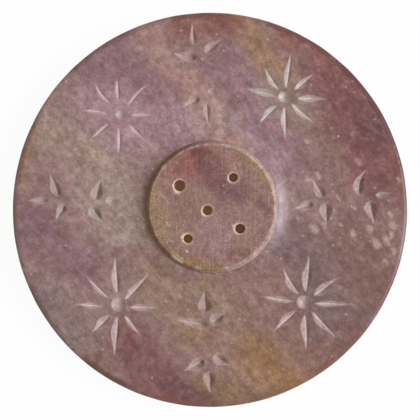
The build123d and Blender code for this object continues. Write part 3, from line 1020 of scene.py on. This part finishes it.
def cuts_filled(graph, place, elsewhere, ragged, colour):
    """The plate's colour with dust and chalk in the cuts, and painted shade on the cut walls that face
    left, away from the lamp.
    """
    patchy = graph.fade(graph.noise(place, 1.1, 3), 0.3, 0.65, 0.6, 1.0)
    # The dust mark is thinner on walls that face away from the lamp, so besides dust it paints light and
    # shade
    dust = graph.math("MULTIPLY", graph.mark("dust"), patchy)
    dull = graph.fade(graph.noise(elsewhere, 0.8, 3), 0.45, 0.65, 0.0, 0.6)
    dust_colour = graph.mix(dull, seen(*CUT_DUST), seen(*DULL_DUST))
    for spot in CHALKY_PLACES:
        dust_colour = graph.mix(vein_share(graph, ragged, spot), dust_colour, seen(*spot.colour))
    colour = graph.mix(dust, colour, dust_colour)
    # Painted shade darkens the cut walls that face left, away from the lamp
    painted_shade = graph.fade(patchy, 0.6, 1.0, 0.0, PAINTED_SHADE_SHARE)
    painted_shade = graph.math("MULTIPLY", graph.mark("painted_shade"), painted_shade)
    colour = graph.mix(painted_shade, colour, seen(*PAINTED_SHADE_COLOUR))
    crease = graph.math("MULTIPLY", graph.fade(graph.mark("crease"), 0.5, 0.95), patchy)
    crease = graph.math("MULTIPLY", crease, CREASE_SHARE)
    return graph.mix(crease, colour, seen(*CREASE_CHALK))


def plate_stone():
    """Waxed soapstone with mauve, olive and red-brown bands."""
    material = bpy.data.materials.new("plate_soapstone")
    graph = Graph(material)
    place = place_in_mm(graph)
    colour = stone_base(graph, place, GREY_MAUVE, PLATE_VEINS)
    elsewhere = graph.vector("ADD", place, (31.0, 7.0, 0.0))
    for spot, tint in ((elsewhere, MAUVE_MOTTLE), (place, OLIVE_MOTTLE)):
        mottle = graph.noise(spot, MOTTLE_SCALE, 4, 0.6)
        colour = graph.mix(graph.fade(mottle, 0.5, 0.75, 0.0, MOTTLE_SHARE), colour, seen(*tint))
    colour = grained(graph, drawn_out(graph, place, GRAIN_STRETCH), colour, PLATE_GRAIN)
    streaks = graph.noise(drawn_out(graph, place, STREAK_STRETCH), STREAK_SCALE, 4, 0.6)
    streaks = graph.fade(streaks, 0.3, 0.7)
    colour = graph.gained(colour, streaks, [1 - STREAK_GAIN] * 3, [1 + STREAK_GAIN] * 3)
    ragged = frayed(graph, place)
    colour = specked(graph, place, ragged, colour)
    colour = rim_stained(graph, place, colour)
    colour = cuts_filled(graph, place, elsewhere, ragged, colour)
    colour = bore_dusted(graph, place, colour)

    roughness = graph.fade(graph.noise(place, 0.35, 4), 0.3, 0.7, *PLATE_ROUGHNESS)
    rubbed = graph.math("MULTIPLY", graph.mark("wear"), CUT_EDGE_ROUGHNESS)
    roughness = graph.math("ADD", roughness, rubbed, clamp=True)
    polish = graph.math("MULTIPLY", graph.mark("dust"), CUT_POLISH)
    roughness = graph.math("SUBTRACT", roughness, polish)
    height = graph.noise(place, RELIEF_SCALE, 4, 0.6)
    finished(graph, colour, roughness, height, PLATE_RELIEF)
    return material


def boss_stone():
    """Red-brown soapstone waxed over the lines of the saw."""
    material = bpy.data.materials.new("boss_soapstone")
    graph = Graph(material)
    place = place_in_mm(graph)
    local = graph.vector("SUBTRACT", place, (boss_x, boss_y, 0.0))
    colour = stone_base(graph, local, BOSS_STONE, BOSS_VEINS)
    olive = graph.fade(graph.noise(place, 0.35, 4, 0.6), 0.48, 0.7, 0.0, 0.4)
    colour = graph.mix(olive, colour, seen(*BOSS_OLIVE))
    level = graph.axis(place, "Z")
    flank = graph.fade(level, boss_top - 0.2, boss_top - 0.6, 0.0, BOSS_FLANK_SHARE)
    # The flank is painted paler on the right, the lamp's side, and darker on the left: painted light and
    # painted shade
    right = graph.fade(graph.axis(local, "X"), -10, 10)
    flank_painted_light_and_shade = graph.mix(right, seen(*BOSS_FLANK_PAINTED_SHADE), seen(*BOSS_FLANK_PAINTED_LIGHT))
    colour = graph.mix(flank, colour, flank_painted_light_and_shade)
    colour = grained(graph, place, colour, BOSS_GRAIN)

    stretched = graph.vector("MULTIPLY", local, (1.0, 0.06, 0.3))
    lines = graph.noise(stretched, SAW_SCALE, 3, 0.65)
    colour = graph.gained(colour, graph.fade(lines, 0.3, 0.7), SAW_DARK, SAW_LIGHT)
    flat = graph.vector("MULTIPLY", local, FLAT)
    for scratch in BOSS_SCRATCHES:
        colour = graph.mix(vein_share(graph, flat, scratch), colour, seen(*scratch.colour))
    specks = flecks(graph, place, 0.6, 0.36, 0.12)
    colour = graph.mix(graph.math("MULTIPLY", specks, BOSS_SPECK_SHARE), colour, seen(*BOSS_SPECK))
    pits = flecks(graph, place, 0.5, 0.45, 0.4)
    colour = graph.mix(graph.math("MULTIPLY", pits, PIT_SHARE), colour, seen(*BOSS_PIT))

    ragged = graph.fade(graph.noise(place, 1.6, 3), 0.3, 0.6, 0.6, 1.0)
    rub = graph.math("MULTIPLY", graph.mark("wear"), ragged)
    colour = graph.mix(rub, colour, seen(*BOSS_RUB))
    colour = bore_dusted(graph, place, colour)

    roughness = graph.fade(graph.noise(place, 0.5, 4), 0.3, 0.7, *BOSS_ROUGHNESS)
    grooves = graph.math("MULTIPLY", lines, SAW_RELIEF)
    height = graph.math("ADD", grooves, graph.noise(place, RELIEF_SCALE, 4, 0.6))
    finished(graph, colour, roughness, height, BOSS_RELIEF)
    return material


plate = plate_shell().piece("soapstone_plate", plate_stone())
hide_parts("carved_plate")
boss = boss_shell().piece("soapstone_boss", boss_stone())
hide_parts("stick_boss")

# Floor: plain white, with the object's shadow left on it
FLOOR_SIZE = 4.0
FLOOR_DROP = 0.05 * MM
FLOOR_WHITE_SHARE = 0.96
FLOOR_COLOUR = (0.9, 0.9, 0.9, 1.0)
FLOOR_CORNERS = [(-0.5, -0.5), (0.5, -0.5), (0.5, 0.5), (-0.5, 0.5)]

floor_mesh = bpy.data.meshes.new("floor")
floor_points = [(x * FLOOR_SIZE, y * FLOOR_SIZE, -FLOOR_DROP) for x, y in FLOOR_CORNERS]
floor_mesh.from_pydata(floor_points, [], [(0, 1, 2, 3)])
floor = bpy.data.objects.new("floor", floor_mesh)
bpy.context.scene.collection.objects.link(floor)

floor_paint = bpy.data.materials.new("floor_white")
graph = Graph(floor_paint)
share = graph.math("MULTIPLY", graph.looked_at(), FLOOR_WHITE_SHARE)
plain = graph.node("ShaderNodeBsdfDiffuse", {"Color": FLOOR_COLOUR})
white = graph.node("ShaderNodeEmission", {"Color": WHITE, "Strength": 1.0})
blend = graph.node("ShaderNodeMixShader", {0: share, 1: plain.outputs[0], 2: white.outputs[0]})
graph.tree.links.new(blend.outputs[0], graph.node("ShaderNodeOutputMaterial").inputs["Surface"])
floor_mesh.materials.append(floor_paint)

# Light: a soft lamp from the right over an even sky
SKY_LEVEL = 0.34
SKY_COLOUR = (1.0, 0.95, 0.72, 1.0)
LAMP_BEARING = radians(-2)
LAMP_ELEVATION = radians(50)
LAMP_DISTANCE = 2.1
LAMP_WIDTH = 0.84
LAMP_HEIGHT = 0.62
LAMP_WATTS = 41.5
LAMP_COLOUR = (0.82, 0.84, 1.0)

world = bpy.data.worlds.new("studio")
bpy.context.scene.world = world
graph = Graph(world)
share = graph.looked_at()
sky = graph.node("ShaderNodeBackground", {"Color": SKY_COLOUR, "Strength": SKY_LEVEL})
backdrop = graph.node("ShaderNodeBackground", {"Color": WHITE, "Strength": 1.0})
blend = graph.node("ShaderNodeMixShader", {0: share, 1: sky.outputs[0], 2: backdrop.outputs[0]})
graph.tree.links.new(blend.outputs[0], graph.node("ShaderNodeOutputWorld").inputs["Surface"])


def aimed(obj, place, target, up):
    """Sets an object at a place, looking at a target, with that direction up."""
    back = (place - target).normalized()
    right = up.cross(back).normalized()
    over = back.cross(right)
    turn = Matrix((right, over, back)).transposed().to_4x4()
    obj.matrix_world = Matrix.Translation(place) @ turn


target = Vector((0, 0, FACE * MM))
lamp_data = bpy.data.lights.new("key", "AREA")
lamp_data.shape = "RECTANGLE"
lamp_data.size = LAMP_WIDTH
lamp_data.size_y = LAMP_HEIGHT
lamp_data.energy = LAMP_WATTS
lamp_data.color = LAMP_COLOUR
lamp = bpy.data.objects.new("key", lamp_data)
bpy.context.scene.collection.objects.link(lamp)
lamp_way = Vector((
    cos(LAMP_ELEVATION) * cos(LAMP_BEARING),
    cos(LAMP_ELEVATION) * sin(LAMP_BEARING),
    sin(LAMP_ELEVATION),
))
aimed(lamp, target + lamp_way * LAMP_DISTANCE, target, Vector((0, 0, 1)))

# Camera: almost straight above, a little towards the lower left
CAMERA_DISTANCE = 0.5
CAMERA_LENS = 169.3
CAMERA_SENSOR = 36
CAMERA_TILT = radians(1.6)
CAMERA_BEARING = radians(232)
CAMERA_AIM = Vector((-0.09, -0.15, FACE)) * MM

camera_data = bpy.data.cameras.new("camera")
camera_data.lens = CAMERA_LENS
camera_data.sensor_width = CAMERA_SENSOR
camera = bpy.data.objects.new("camera", camera_data)
bpy.context.scene.collection.objects.link(camera)
camera_way = Vector((
    sin(CAMERA_TILT) * cos(CAMERA_BEARING),
    sin(CAMERA_TILT) * sin(CAMERA_BEARING),
    cos(CAMERA_TILT),
))
aimed(camera, CAMERA_AIM + camera_way * CAMERA_DISTANCE, CAMERA_AIM, Vector((0, 1, 0)))
bpy.context.scene.camera = camera
bpy.context.scene.view_settings.view_transform = "Standard"
